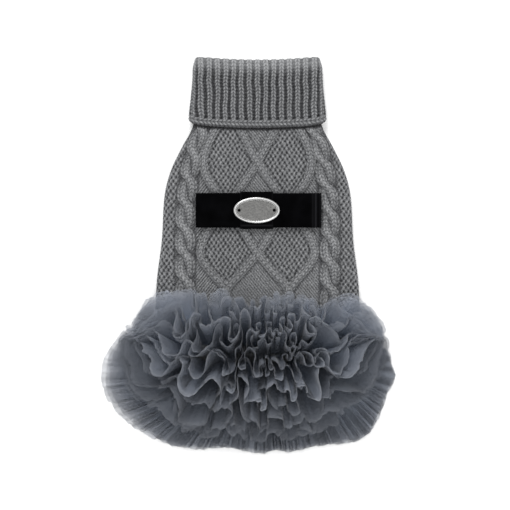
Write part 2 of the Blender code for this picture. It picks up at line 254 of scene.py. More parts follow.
# ---------- the knit's own sizes
STITCH_HEIGHT = 0.0036
V_SLANT = 0.75
MOSS_WIDTH = 0.00225
MOSS_HEIGHT = 0.0033
HATCH_PITCH = 0.0029
RIB_PITCH = 0.0076
RIB_ROW = 0.0035
YARN_GRAIN = 0.14
BACK_COLUMNS = 296
BACK_ROW = 0.0007
BELLY_STEPS = 150
COLLAR_TOP_STEPS = 300
COLLAR_UNDER_STEPS = 120
HEM_TURN_IN = 0.008
SKIRT_TOP_Y = -0.0765
COLLAR_INNER_RUN = 0.058
COLLAR_FOLD_RUN = 0.0095
COLLAR_OUTER_RUN = 0.0645
# Where the painted highlight over the collar's fold is brightest, as a run of cloth from the neck seam.
COLLAR_FOLD_LIGHT_AT = 0.068
COLLAR_CORNER = 0.011
COLLAR_RIB_ROOM = 0.0017
COLLAR_TOP_ROOM = 0.0018
COLLAR_EDGE_CURL = 0.004
COLLAR_EDGE_LIFT = 0.0028
CAST_OFF_WIDTH = 0.0072
CAST_OFF_BLEND = 0.0020
CAST_OFF_HOLES_AT = 0.0070
CAST_OFF_HOLE = 0.0012
CHAIN_WIDTH = 0.0066
SIDE_SEAM_FADE = 0.004
BACK_SINK = 0.0010

# The two lines that the raised bands follow from the neck to the skirt; both are mirrored in X.
BAND_PATHS = table(
    "y first second",
    (-0.080, 0.030, 0.030),
    (-0.036, 0.030, 0.030),
    (-0.028, 0.034, 0.026),
    (-0.018, 0.0425, 0.0165),
    (-0.008, 0.0505, 0.008),
    (0.002, 0.0545, 0.0),
    (0.012, 0.0525, -0.007),
    (0.022, 0.048, -0.0125),
    (0.030, 0.042, -0.0175),
    (0.046, 0.028, -0.028),
    (0.062, 0.018, -0.0405),
    (0.075, 0.009, -0.0485),
    (0.089, 0.0, -0.0515),
    (0.103, -0.008, -0.0485),
    (0.117, -0.015, -0.0415),
    (0.132, -0.024, -0.033),
)
BAND_HALF_WIDTH = 0.0044

# The rope cables: their middle line's distance from the dress's middle line, and their half width.
ROPE_PATH = table(
    "y centre half_width",
    (-0.130, 0.068, 0.0097),
    (-0.015, 0.069, 0.0097),
    (0.041, 0.0685, 0.0097),
    (0.072, 0.0655, 0.0095),
    (0.089, 0.0625, 0.0092),
    (0.115, 0.0555, 0.0084),
    (0.128, 0.0500, 0.0080),
)
ROPE_CROSSING = 0.024
ROPE_CROSSING_Y = {-1: 0.001, 1: 0.0175}


# ---------- small maths
def read_table(rows, column, position):
    """Smooth values between the rows of a table, by Catmull-Rom, for an array of positions."""
    keys = np.array([row[0] for row in rows], float)
    values = np.array([getattr(row, column) for row in rows], float)
    position = np.clip(np.asarray(position, float), keys[0], keys[-1])
    i = np.clip(np.searchsorted(keys, position) - 1, 0, len(keys) - 2)
    before = np.maximum(i - 1, 0)
    after = np.minimum(i + 2, len(keys) - 1)
    span = keys[i + 1] - keys[i]
    slope_in = (values[i + 1] - values[before]) / (keys[i + 1] - keys[before]) * span
    slope_out = (values[after] - values[i]) / (keys[after] - keys[i]) * span
    t = (position - keys[i]) / span
    return (
        values[i] * (2 * t**3 - 3 * t**2 + 1)
        + slope_in * (t**3 - 2 * t**2 + t)
        + values[i + 1] * (3 * t**2 - 2 * t**3)
        + slope_out * (t**3 - t**2)
    )


def read_straight(rows, column, position):
    """Values between the rows of a table along straight lines."""
    return np.interp(position, [row[0] for row in rows], [getattr(row, column) for row in rows])


def ease(value):
    value = np.clip(value, 0.0, 1.0)
    return value * value * (3 - 2 * value)


def mix(a, b, share):
    return a + (b - a) * share


def bell(share):
    return np.exp(-(share**2))


def dome(share):
    """A round section: 1 in the middle, 0 at a share of 1."""
    return np.sqrt(np.clip(1 - share**2, 0, 1))


def unit(vectors):
    return vectors / np.linalg.norm(vectors, axis=-1, keepdims=True)


def wander(x, seed, pitch):
    """A gentle, repeatable wander of about -1 to 1 along x, with waves around the given pitch."""
    random = np.random.default_rng(seed)
    total = 0.0
    for octave in (1.0, 1.37, 2.13, 2.9):
        total = total + np.sin(2 * np.pi * x * octave / pitch + random.uniform(0, 2 * np.pi)) / octave
    return total / 2.2


# ---------- meshes
def grid_faces(rows, columns, closed, start=0):
    """Quads of a grid of points, with the last column joined to the first when closed."""
    across = np.arange(columns if closed else columns - 1)
    row = np.arange(rows - 1)[:, None] * columns + start
    here = row + across
    beside = row + (across + 1) % columns
    return np.stack([here, beside, beside + columns, here + columns], -1).reshape(-1, 4)


def cloth_object(name, grids, material, closed=False, keep=None):
    """One smooth mesh from grids of points, each a dict of points and point values."""
    faces = []
    start = 0
    for grid in grids:
        rows, columns = grid["points"].shape[:2]
        faces.append(grid_faces(rows, columns, closed, start))
        start += rows * columns
    faces = np.concatenate(faces)
    points = np.concatenate([grid["points"].reshape(-1, 3) for grid in grids])
    if keep is not None:
        faces = faces[keep(points[faces].mean(1))]
    used, renumbered = np.unique(faces, return_inverse=True)
    mesh = bpy.data.meshes.new(name)
    mesh.from_pydata(points[used].tolist(), [], renumbered.reshape(-1, 4).tolist())
    for value in grids[0]:
        if value != "points":
            layer = mesh.attributes.new(value, "FLOAT", "POINT")
            values = np.concatenate([grid[value].ravel() for grid in grids])[used]
            layer.data.foreach_set("value", values.astype(np.float32))
    mesh.shade_smooth()
    mesh.materials.append(material)
    piece = bpy.data.objects.new(name, mesh)
    bpy.context.scene.collection.objects.link(piece)
    return piece


# ---------- sections of the knitted tubes
def body_half_width(y):
    return read_table(BODY_OUTLINE, "half_width", y)


def lift_from(start_y, y):
    return NECK_LIFT * ease((y - start_y) / (NECK_RAMP_END_Y - start_y))


def body_levels(y):
    """Height of the side seam, and the half height of the body's outer faces."""
    underside = lift_from(BELLY_RAMP_START_Y, y)
    topside = BODY_THICKNESS + lift_from(BACK_RAMP_START_Y, y)
    return (underside + topside) / 2, (topside - underside) / 2


def crown_drop(x):
    return CROWN_DROP * (x / CROWN_REACH) ** 2


def outer_section(across, half_width, half_height, side_round, has_crown):
    """Points and outward normals of half a tube's section at equal lengths of arc.

    across runs from -1 to 1 between the side seams. Returns x, height over the seam, the normal's x and z,
    and the length of arc from the middle.
    """
    rise = half_height - SIDE_STUB
    quarter = np.pi / 2 * np.sqrt((side_round**2 + rise**2) / 2)
    flat_end = half_width - side_round
    arc = np.abs(across) * (flat_end + quarter + SIDE_STUB)
    side = np.sign(across)
    angle = np.pi / 2 * (1 - np.clip((arc - flat_end) / quarter, 0, 1))
    on_flat = arc <= flat_end
    x = np.where(on_flat, arc, flat_end + side_round * np.cos(angle))
    below_seam_round = np.clip(arc - flat_end - quarter, 0, SIDE_STUB)
    height = np.where(on_flat, half_height, SIDE_STUB + rise * np.sin(angle)) - below_seam_round
    share = np.clip((height - SIDE_STUB) / rise, 0, 1)
    height = height - crown_drop(x) * share * has_crown
    normal_x = np.where(on_flat, 0.0, np.cos(angle))
    normal_z = np.where(on_flat, 1.0, np.sin(angle))
    return side * x, height, side * normal_x, normal_z, side * arc


def back_top(x, y):
    """Height of the back panel's outer face, as the part's source has it."""
    half_width = body_half_width(y) - KNIT_WALL / 2
    seam_z, half_height = body_levels(y)
    half_height = half_height - KNIT_WALL / 2
    into_side = (np.abs(x) - half_width) / BODY_SIDE_ROUND + 1
    share = np.sqrt(1 - np.clip(into_side, 0, 1) ** 2)
    return seam_z + SIDE_STUB + (half_height - SIDE_STUB - crown_drop(x)) * share + KNIT_WALL / 2


# ---------- stitch patterns
def v_stitches(column, row):
    """Height from 0 to 1 of columns of knit stitches, each a V whose legs rise outwards."""
    lean = 2 * np.abs(column % 1 - 0.5)
    phase = (row - V_SLANT * lean) % 1
    leg = 1 - np.abs(2 * phase - 1) ** 2.5
    crease = 0.70 * np.exp(-((lean / 0.26) ** 2))
    edge = np.clip((1 - lean) / 0.35, 0, 1) ** 0.6
    return leg * (1 - crease) * (0.3 + 0.7 * edge)


def moss_stitches(column, row):
    """Bumps from 0 to 1 and holes from 0 to 1 of moss stitch, where they take turns."""
    check = np.sin(np.pi * column) * np.sin(np.pi * row)
    bump = np.clip(check, 0, 1) ** 0.6
    hole = np.clip(-check, 0, 1) ** 1.3
    return bump, hole


def lay_over(under, over, share):
    """Relief and shade of one pattern where another lies over it by a share of 0 to 1."""
    return tuple(mix(below, above, share) for below, above in zip(under, over))


def rope_strands(x, y, side):
    """A two-strand rope cable: height, stitches, and the parting between the strands."""
    centre = read_table(ROPE_PATH, "centre", y)
    half_width = read_table(ROPE_PATH, "half_width", y)
    turn = np.pi * (y - ROPE_CROSSING_Y[side]) / ROPE_CROSSING
    offset = side * x - centre
    levels, patterns = [], []
    for strand in (0, np.pi):
        wave = np.sin(turn + strand)
        swing = -side * 0.45 * half_width * wave / np.sqrt(wave**2 + 0.35 * np.cos(turn + strand) ** 2)
        near = (offset - swing) / (0.60 * half_width)
        over = np.cos(turn + strand)
        levels.append(dome(near) * (0.66 + 0.34 * over))
        patterns.append(v_stitches(near, y / STITCH_HEIGHT - 0.5 * side * near * over))
    first_over = levels[0] > levels[1]
    height = np.maximum(*levels)
    under = np.minimum(*levels)
    stitches = np.where(first_over, *patterns)
    parting = bell((height - under) / 0.16) * ease(height / 0.2)
    return height, stitches, parting


def band_heights(x, y):
    """The bands that make the diamonds: height, stitches, hollow beside them, and the diamonds' inside."""
    step = 0.001
    height = np.zeros_like(x)
    stitches = np.zeros_like(x)
    hollow = np.zeros_like(x)
    lines = {column: read_table(BAND_PATHS, column, y) for column in ("first", "second")}
    for column, line in lines.items():
        slope = (read_table(BAND_PATHS, column, y + step) - line) / step
        half_width = BAND_HALF_WIDTH * np.sqrt(1 + np.minimum(slope**2, 1.2))
        for side in (-1, 1):
            near = (x - side * line) / half_width
            level = dome(near) * (1.0 if side > 0 else 0.86)
            mine = level > height
            pattern = v_stitches(near, y / STITCH_HEIGHT - 0.35 * near * side * slope)
            stitches = np.where(mine, pattern, stitches)
            parting = bell((height - level) / 0.12) * (np.minimum(height, level) > 0.15)
            hollow = np.maximum(hollow, np.maximum(0.7 * bell((np.abs(near) - 1.14) / 0.22), parting))
            height = np.maximum(height, level)
    nearest = np.minimum(*np.abs(list(lines.values())))
    furthest = np.maximum(*np.abs(list(lines.values())))
    depth = np.minimum(np.abs(x) - nearest, furthest - np.abs(x))
    return height, stitches, hollow * (height < 0.3), ease(depth / 0.003) * (y > -0.036)


def back_relief(x, arc, y):
    """Relief in metres and shade of the back panel's stitches at distances x and arc from its middle line."""
    row = y / MOSS_HEIGHT + 0.24 * wander(x, 32, 0.017)
    row = row + 0.16 * wander(x + 0.6 * y, 33, 0.008)
    column = arc / MOSS_WIDTH + 0.28 * wander(y, 31, 0.019)
    column = column + 0.16 * wander(y - 0.6 * x, 34, 0.009)
    band, band_stitches, hollow, in_diamond = band_heights(x, y)
    bump, hole = moss_stitches(column, row)
    hatch = 0.5 + 0.5 * np.cos(2 * np.pi * (arc + 0.8 * np.where(x < -0.034, -y, y)) / HATCH_PITCH)
    patches = wander(arc + 0.4 * y, 41, 0.0042) * wander(y - 0.5 * arc, 42, 0.0050)
    moss_shade = 0.45 + 0.30 * bump + 0.16 * patches - 0.50 * hole * (1 + 0.6 * patches)
    moss = (0.4 + 0.7 * bump - 0.9 * hole, moss_shade)
    knit = (0.15 + 0.42 * hatch, 0.26 + 0.50 * hatch + 0.26 * patches)
    knit = lay_over(knit, moss, in_diamond)
    rope_centre = read_table(ROPE_PATH, "centre", y)
    rope_half = read_table(ROPE_PATH, "half_width", y)
    beyond = ease((np.abs(x) - rope_centre - 0.8 * rope_half) / 0.003)
    knit = lay_over(knit, moss, beyond)
    # Painted shade: the channels beside the ropes, the hollows beside the bands and the partings between
    # strands are darker, and bands and strands darken towards their sides.
    beside_rope = ease((1.22 - np.abs(np.abs(x) - rope_centre) / rope_half) / 0.25)
    relief, shade = lay_over(knit, (-0.5, 0.15 + 0.18 * hatch), beside_rope)
    knit = (relief - 0.3 * hollow, shade * (1 - 0.5 * hollow))
    band_shade = (0.22 + 0.62 * band_stitches) * (0.66 + 0.34 * band)
    knit = lay_over(knit, (0.5 + 1.5 * band + 0.5 * band_stitches, band_shade), ease(band / 0.45))
    for side in (-1, 1):
        rope, stitches, parting = rope_strands(x, y, side)
        rope_shade = (0.27 + 0.63 * stitches) * (0.58 + 0.47 * rope) * (1 - 0.62 * parting)
        rope_surface = (3.0 * rope + 0.5 * stitches - 0.8 * parting, rope_shade)
        knit = lay_over(knit, rope_surface, ease(rope / 0.3) * (side * x > 0))
    return knit[0] * MM, knit[1]


# ---------- materials
def new_material(name):
    material = bpy.data.materials.new(name)
    material.use_nodes = True
    return material, material.node_tree, material.node_tree.nodes["Principled BSDF"]


def feed(tree, node, inputs):
    """Give a node's inputs, by name or number, their constants or other nodes' outputs."""
    for key, value in inputs.items():
        if isinstance(value, bpy.types.NodeSocket):
            tree.links.new(value, node.inputs[key])
        else:
            node.inputs[key].default_value = value


def add_node(tree, kind, inputs, output=0, **settings):
    """A node with its settings and inputs; returns one of its outputs, by name or number."""
    node = tree.nodes.new(kind)
    for key, value in settings.items():
        setattr(node, key, value)
    feed(tree, node, inputs)
    return node.outputs[output]


def mesh_value(tree, name):
    return add_node(tree, "ShaderNodeAttribute", {}, "Fac", attribute_name=name)


def piece_place(tree):
    return add_node(tree, "ShaderNodeTexCoord", {}, "Object")


def noise(tree, scale, detail=2.0, roughness=0.5, at=None):
    """Noise by its scale per metre, over the piece itself unless another place is given."""
    inputs = {"Vector": at or piece_place(tree), "Scale": scale, "Detail": detail, "Roughness": roughness}
    return add_node(tree, "ShaderNodeTexNoise", inputs, "Fac")


def map_range(tree, value, low, high, from_low=0.0, from_high=1.0):
    inputs = {"Value": value, "From Min": from_low, "From Max": from_high, "To Min": low, "To Max": high}
    return add_node(tree, "ShaderNodeMapRange", inputs, "Result")


def multiply(tree, first, second):
    return add_node(tree, "ShaderNodeMath", {0: first, 1: second}, operation="MULTIPLY")


def scale_colour(tree, colour, scale):
    return add_node(tree, "ShaderNodeVectorMath", {0: colour, "Scale": scale}, operation="SCALE")


def mix_colours(tree, share, first, second):
    """One colour to the other; 6 and 7 are the node's colour inputs, and 2 is its colour output."""
    return add_node(tree, "ShaderNodeMix", {0: share, 6: first, 7: second}, 2, data_type="RGBA")


def mix_shaders(tree, share, first, second):
    return add_node(tree, "ShaderNodeMixShader", {0: share, 1: first, 2: second})


def bumped(tree, height, strength, distance):
    inputs = {"Height": height, "Strength": strength, "Distance": distance}
    return add_node(tree, "ShaderNodeBump", inputs, "Normal")


def colour_ramp(tree, value, stops):
    ramp = tree.nodes.new("ShaderNodeValToRGB")
    while len(ramp.color_ramp.elements) < len(stops):
        ramp.color_ramp.elements.new(0.5)
    for element, (position, colour) in zip(ramp.color_ramp.elements, stops):
        element.position = position
        element.color = (*colour, 1.0)
    feed(tree, ramp, {"Fac": value})
    return ramp.outputs["Color"]


def knit_material():
    """Marled grey yarn: painted stitch shade and grain from the mesh, flecks and fibres from noise, and a
    soft sheen.
    """
    material, tree, shader = new_material("knit yarn")
    flecks = map_range(tree, noise(tree, 780.0, 3.0, 0.75), -0.24, 0.24, 0.3, 0.7)
    marled = add_node(tree, "ShaderNodeMath", {0: flecks, 1: mesh_value(tree, "shade")}, operation="ADD")
    yarn = colour_ramp(tree, marled, [
        (0.0, (0.012, 0.012, 0.013)),
        (0.25, (0.052, 0.053, 0.056)),
        (0.6, (0.150, 0.153, 0.157)),
        (1.0, (0.300, 0.304, 0.310)),
    ])
    clouds = map_range(tree, noise(tree, 26.0), 0.86, 1.12)
    feed(tree, shader, {
        "Base Color": scale_colour(tree, yarn, clouds),
        "Normal": bumped(tree, noise(tree, 1900.0, roughness=0.6), 0.35, 0.0004),
        "Roughness": 0.92,
        "Specular IOR Level": 0.2,
        "Sheen Weight": 0.15,
        "Sheen Roughness": 0.5,
    })
    return material


def tulle_material():
    """Fine see-through net, streaked by its gathers and denser where a ply ends in its cut edge; its colour
    has a painted highlight along the cut edge and a bluer painted shade deep in the gathers.
    """
    deep_shade_colour = (0.236, 0.282, 0.360, 1.0)
    outer_colour = (0.263, 0.284, 0.328, 1.0)
    edge_highlight_colour = (0.330, 0.348, 0.382, 1.0)
    material, tree, shader = new_material("slate tulle")
    rim, sheer, out, strip, painted_light = (
        mesh_value(tree, name) for name in ("rim", "sheer", "out", "strip", "painted_light")
    )
    along_gathers = add_node(tree, "ShaderNodeCombineXYZ", {"X": strip, "Y": multiply(tree, out, 0.0022)})
    streaks = map_range(tree, noise(tree, 430.0, roughness=0.6, at=along_gathers), 0.92, 1.07, 0.3, 0.7)
    # Painted shade: bluer deep in the gathers; painted highlight: paler along the cut edge.
    colour = mix_colours(tree, rim, mix_colours(tree, out, deep_shade_colour, outer_colour), edge_highlight_colour)
    # Painted light and shade from the mesh, and the streaks, scale the colour.
    dye = scale_colour(tree, colour, multiply(tree, painted_light, streaks))
    net_inputs = {"Vector": piece_place(tree), "Scale": 1300.0}
    net = add_node(tree, "ShaderNodeTexVoronoi", net_inputs, "Distance", feature="DISTANCE_TO_EDGE")
    opaque = map_range(tree, rim, 0.76, 0.9)
    for factor in (map_range(tree, net, 1.03, 0.97, 0.0, 0.25), sheer, streaks):
        opaque = multiply(tree, opaque, factor)
    opaque.node.use_clamp = True
    feed(tree, shader, {
        "Base Color": dye,
        "Roughness": 0.8,
        "Specular IOR Level": 0.15,
        "Sheen Weight": 0.25,
        "Sheen Roughness": 0.4,
    })
    through = add_node(tree, "ShaderNodeBsdfTranslucent", {"Color": dye})
    cloth = mix_shaders(tree, 0.38, shader.outputs[0], through)
    holes = add_node(tree, "ShaderNodeBsdfTransparent", {})
    feed(tree, tree.nodes["Material Output"], {"Surface": mix_shaders(tree, opaque, holes, cloth)})
    return material


def ribbon_material():
    material, tree, shader = new_material("black satin ribbon")
    weave_inputs = {"Vector": piece_place(tree), "Scale": 420.0}
    weave = add_node(tree, "ShaderNodeTexWave", weave_inputs, "Fac", bands_direction="X")
    satin = colour_ramp(tree, noise(tree, 60.0), [
        (0.3, (0.0002, 0.0002, 0.0003)),
        (0.75, (0.0018, 0.0018, 0.0022)),
    ])
    feed(tree, shader, {
        # A painted highlight from the mesh's shade value lightens the creases and edges.
        "Base Color": mix_colours(tree, mesh_value(tree, "shade"), satin, (0.012, 0.012, 0.0135, 1.0)),
        "Normal": bumped(tree, weave, 0.15, 0.0002),
        "Roughness": 0.6,
        "Specular IOR Level": 0.01,
    })
    return material


def silver_material():
    material, tree, shader = new_material("polished silver rim")
    feed(tree, shader, {
        "Base Color": (0.40, 0.40, 0.395, 1.0),
        "Roughness": map_range(tree, noise(tree, 300.0, 4.0), 0.16, 0.34),
        "Metallic": 1.0,
    })
    return material


def enamel_material():
    material, tree, shader = new_material("grained grey enamel")
    grain = noise(tree, 950.0)
    feed(tree, shader, {
        "Base Color": colour_ramp(tree, grain, [(0.3, (0.016, 0.016, 0.0155)), (0.7, (0.112, 0.111, 0.104))]),
        "Roughness": 0.35,
        "Coat Weight": 0.4,
    })
    return material


# ---------- knitted pieces
def rolled_rows(count, reach):
    """Steps round a cut edge and back inside: (how far back from the edge, how deep below the outer face)."""
    turns = np.linspace(0, math.pi, count + 1)[1:]
    round_part = [(-KNIT_WALL / 2 * math.sin(turn), KNIT_WALL / 2 * (1 - math.cos(turn))) for turn in turns]
    return round_part + [(share * reach, KNIT_WALL) for share in (0.3, 0.65, 1.0)]


def panel_grid(rows_y, columns, upper, relief_of):
    """A body panel's outer face as a grid, with its hem rolled round to the inside."""
    y, across = np.meshgrid(rows_y, np.linspace(-1, 1, columns), indexing="ij")
    seam_z, half_height = body_levels(y)
    x, height, normal_x, normal_z, arc = outer_section(
        across, body_half_width(y), half_height, BODY_SIDE_ROUND + KNIT_WALL / 2, 1.0 if upper else 0.0
    )
    relief, shade = relief_of(x, arc, y)
    grain = np.random.default_rng(11).normal(0, 1, shade.shape)
    shade = np.clip(shade * (1 + 0.5 * YARN_GRAIN * grain) + 0.4 * YARN_GRAIN * grain, 0, 1)
    side = 1.0 if upper else -1.0
    points = np.stack([x, y, seam_z + side * height], -1)
    normals = np.stack([normal_x, np.zeros_like(x), side * normal_z], -1)
    hem = []
    for back, depth in rolled_rows(4, HEM_TURN_IN):
        edge = points[0] - normals[0] * depth
        edge = edge + normals[0] * relief[0][:, None] * max(0, 1 - depth / KNIT_WALL)
        hem.insert(0, edge + np.array([0, 1, 0]) * back)
    hem_shade = np.tile(shade[0] * 0.8, (len(hem), 1))
    return {
        "points": np.concatenate([hem, points + normals * relief[..., None]]),
        "shade": np.concatenate([hem_shade, shade]),
    }


def collar_edge(side):
    """Where the collar's cast-off edge lies, for shares of the half width: a little above its solid's."""
    return COLLAR_EDGE_Y + COLLAR_EDGE_RISE * side**2 + COLLAR_EDGE_LIFT * (1 - side**2)


def middle_and_half(low, high):
    return (low + high) / 2, (high - low) / 2


def frame_box_mask(x, y, node, soft):
    """1 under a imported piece's box seen from above, falling to 0 over a soft margin."""
    low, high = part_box(node)
    over_x = np.maximum(low.x - x, x - high.x)
    over_y = np.maximum(low.y - y, y - high.y)
    return 1 - ease(np.maximum(over_x, over_y) / soft)


def inside_side_seam(x, y):
    return ease((body_half_width(y) - np.abs(x)) / SIDE_SEAM_FADE)


def make_back(material):
    below_skirt = np.linspace(HEM_Y, SKIRT_TOP_Y, 22)[:-1]
    rows = np.concatenate([below_skirt, np.arange(SKIRT_TOP_Y, NECK_SEAM_Y, BACK_ROW)])

    def relief_of(x, arc, y):
        relief, shade = back_relief(x, arc, y)
        relief = relief * (1 - 0.55 * frame_box_mask(x, y, "bow_loop", 0.004))
        edge_y = collar_edge(x / body_half_width(y))
        # Painted shadow: the knit just below the collar's edge is painted nearly black, and its relief sinks
        # there.
        under_collar_shadow = ease((y - edge_y + 0.0055) / 0.0035)
        relief = relief * (1 - 0.6 * under_collar_shadow) - BACK_SINK
        return relief * inside_side_seam(x, y), shade * (1 - 0.95 * under_collar_shadow)

    return cloth_object("knit_back", [panel_grid(rows, BACK_COLUMNS, True, relief_of)], material)


def make_belly(material):
    def relief_of(x, arc, y):
        bumps, holes = moss_stitches(arc / MOSS_WIDTH, y / MOSS_HEIGHT)
        return 0.4 * MM * bumps * inside_side_seam(x, y), 0.42 + 0.25 * bumps - 0.4 * holes

    def keep(centres):
        """Leave out the faces of the two leg openings."""
        inside = np.zeros(len(centres), bool)
        for side in (-1, 1):
            dx = (centres[:, 0] - side * LEG_OPENING_X) / (LEG_OPENING_WIDTH / 2)
            dy = (centres[:, 1] - LEG_OPENING_Y) / (LEG_OPENING_LENGTH / 2)
            inside |= dx**2 + dy**2 < 1
        return ~(inside & (centres[:, 2] < BODY_THICKNESS / 2))

    grid = panel_grid(np.linspace(HEM_Y, NECK_SEAM_Y, BELLY_STEPS), BELLY_STEPS, False, relief_of)
    return cloth_object("knit_belly", [grid], material, keep=keep)


def collar_ring(turn, inset, y):
    """Points and normals round the collar: turn 0 to 1 over the top from right to left, 1 to 2 underneath."""
    corner = np.clip((y - COLLAR_TOP_Y + 0.0075) / COLLAR_CORNER, 0, 1)
    half_width = read_table(COLLAR_OUTLINE, "half_width", y) - COLLAR_RIB_ROOM - inset
    half_width = half_width - 0.006 * (1 - dome(corner))
    half_height = COLLAR_THICKNESS / 2 - inset
    side_round = COLLAR_SIDE_ROUND + KNIT_WALL / 2 - inset
    turn = turn % 2
    over = turn <= 1
    across = np.where(over, 1 - 2 * turn, 2 * (turn - 1) - 1)
    x, height, normal_x, normal_z, arc = outer_section(
        across, half_width, half_height, side_round, over * 1.0
    )
    side = np.where(over, 1.0, -1.0)
    half_girth = np.abs(arc) / np.maximum(np.abs(across), 1e-6)
    girth = np.where(over, arc, np.where(arc < 0, -2 * half_girth - arc, 2 * half_girth - arc))
    z = COLLAR_THICKNESS / 2 + side * height
    return np.stack([x, y, z], -1), np.stack([normal_x, np.zeros_like(x), side * normal_z], -1), girth


def rib_relief(position, row, fold):
    """Relief and painted shade of a rib of one knit and one purl column; position is in ribs, row in
    stitches. The shade is darkest in the purl valleys, and fold, from 0 to 1, flattens the ribs and adds a
    painted highlight where the cloth turns over the top.
    """
    column = (position + 0.5) % 1 - 0.5
    near = np.abs(column) / 0.345
    rib = dome(near)
    knit = v_stitches(column / 0.69 + 0.5, row)
    valley = 0.5 + 0.5 * np.cos(2 * np.pi * row)
    on_rib = ease(rib / 0.5)
    over = (-0.2 + 1.0 * rib + 0.5 * knit, (0.12 + 0.70 * knit) * (0.7 + 0.3 * rib))
    relief, shade = lay_over((-0.9 + 0.3 * valley, 0.03 + 0.13 * valley), over, on_rib)
    relief = mix(relief, 0.15 * relief + 0.35, fold)
    # Painted highlight where the collar turns over at the top.
    shade = mix(shade, 0.50 + 0.66 * shade, 0.85 * fold)
    return relief * MM, shade


def collar_layers():
    """Rows along the collar's cloth, up inside, over the fold and down: layer, share, run from the seam."""
    rows = []
    start = 0.0
    for layer, length, steps in (
        ("inner", COLLAR_INNER_RUN, 24),
        ("fold", COLLAR_FOLD_RUN, 13),
        ("outer", COLLAR_OUTER_RUN, 98),
        ("edge", 0.0, 6),
    ):
        shares = np.linspace(0, 1, steps)[1 if rows else 0:]
        rows += [(layer, share, start + share * length) for share in shares]
        start += length
    return rows


def make_collar(material):
    over = np.linspace(0, 1, COLLAR_TOP_STEPS, endpoint=False)
    turns = np.concatenate([over, np.linspace(1, 2, COLLAR_UNDER_STEPS, endpoint=False)])
    fold_radius = KNIT_WALL + COLLAR_LAYER_GAP / 2
    top_half_width = read_table(COLLAR_OUTLINE, "half_width", COLLAR_TOP_Y)
    side = collar_ring(turns, 0, np.full_like(turns, COLLAR_TOP_Y - 0.02))[0][:, 0] / top_half_width
    fold_y = COLLAR_TOP_Y - COLLAR_TOP_ROOM + COLLAR_TOP_RISE * side**2 - fold_radius
    edge_y = collar_edge(side) + COLLAR_EDGE_CURL * side**14
    random = np.random.default_rng(5)
    points, shades = [], []
    for layer, share, run in collar_layers():
        angle = math.pi * share
        if layer == "inner":
            y = mix(fold_y, NECK_SEAM_Y + SEAM_GAP, 1 - share)
            radius, outward, lean_y = fold_radius, -1.0, 0.0
        elif layer == "fold":
            y = fold_y
            radius, outward, lean_y = fold_radius, -math.cos(angle), math.sin(angle)
        elif layer == "outer":
            y = mix(fold_y, edge_y, share)
            radius, outward, lean_y = 0.0, 1.0, 0.0
        else:
            y = edge_y
            radius, outward, lean_y = KNIT_WALL / 2, math.cos(angle), -math.sin(angle)
        ring, normals, girth = collar_ring(turns, radius * (1 - outward), y)
        ring[:, 1] += radius * lean_y
        drift = 0.07 * wander(girth + 0.4 * run, 21, 0.045)
        drift = drift + 0.05 * wander(np.full_like(girth, run), 22, 0.03)
        ribs = girth / RIB_PITCH + drift
        near_fold = bell((run - COLLAR_FOLD_LIGHT_AT) / 0.0085)
        relief, shade = rib_relief(ribs, run / RIB_ROW + 0.15 * wander(girth, 23, 0.02), near_fold)
        if layer in ("outer", "edge"):
            from_edge = COLLAR_INNER_RUN + COLLAR_FOLD_RUN + COLLAR_OUTER_RUN - run
            cast_off = ease((CAST_OFF_WIDTH - from_edge) / CAST_OFF_BLEND)
            chain = v_stitches(from_edge / CHAIN_WIDTH, 2.0 * ribs)
            holes = bell((from_edge - CAST_OFF_HOLES_AT) / CAST_OFF_HOLE)
            holes = holes * (0.5 - 0.5 * np.cos(2 * np.pi * ribs)) ** 2
            relief = mix(relief, (0.25 + 0.75 * chain) * MM, cast_off) - 0.8 * MM * holes
            # The holes are painted dark as shade.
            shade = mix(shade, 0.14 + 0.62 * chain, cast_off) * (1 - 0.9 * holes)
        shade = shade + YARN_GRAIN * random.normal(0, 1, len(turns)) * 0.5
        sideways = normals * outward
        sideways[:, 1] += lean_y
        points.append(ring + unit(sideways) * relief[:, None])
        # The inner layer, inside the collar, is painted darker as shade.
        shades.append(shade * (0.75 if layer == "inner" else 1.0))
    grid = {"points": np.array(points), "shade": np.array(shades)}
    return cloth_object("knit_collar", [grid], material, closed=True)


# ---------- tulle
def seam_point(along, row_y, end_rise):
    x = along * ROW_HALF_WIDTH
    y = row_y + end_rise * np.abs(along) ** ROW_BEND_POWER
    return np.stack([x, y, back_top(x, y) + SEAM_GAP + TULLE_WALL / 2], -1)


def root_height(tier, held):
    return seam_point(held, tier.row_y, tier.end_rise)[..., 2] - ROOT_SINK


def direction(bearing, lift):
    """Unit vectors at bearings from the tail's direction, positive to the right, and lifts, in radians."""
    flat = np.cos(lift)
    return np.stack(np.broadcast_arrays(np.sin(bearing) * flat, -np.cos(bearing) * flat, np.sin(lift)), -1)


def look_of(tier):
    return LOOKS[TIERS.index(tier)]


def tier_spoke(tier, along, tilt):
    """Direction and length of a tier's cloth along its seam; tilt, in radians, leans it to the neck."""
    middle = direction(0.0, math.radians(tier.lift) + tilt)
    curl = look_of(tier).end_curl * np.clip((np.abs(along) - 1) / END_TURN + 1, 0, 1)
    end_bearing = np.sign(along) * np.radians(tier.end_bearing - curl)
    end = direction(end_bearing, math.radians(tier.end_lift) + 0.5 * tilt)
    share = (np.abs(along) ** FAN_POWER)[..., None]
    turn = np.arccos(np.clip((middle * end).sum(-1, keepdims=True), -1, 1))
    spoke = (middle * np.sin((1 - share) * turn) + end * np.sin(share * turn)) / np.sin(turn)
    end_length = np.where(along < 0, tier.left, tier.right)
    return unit(spoke), tier.middle + (end_length - tier.middle) * share[..., 0]


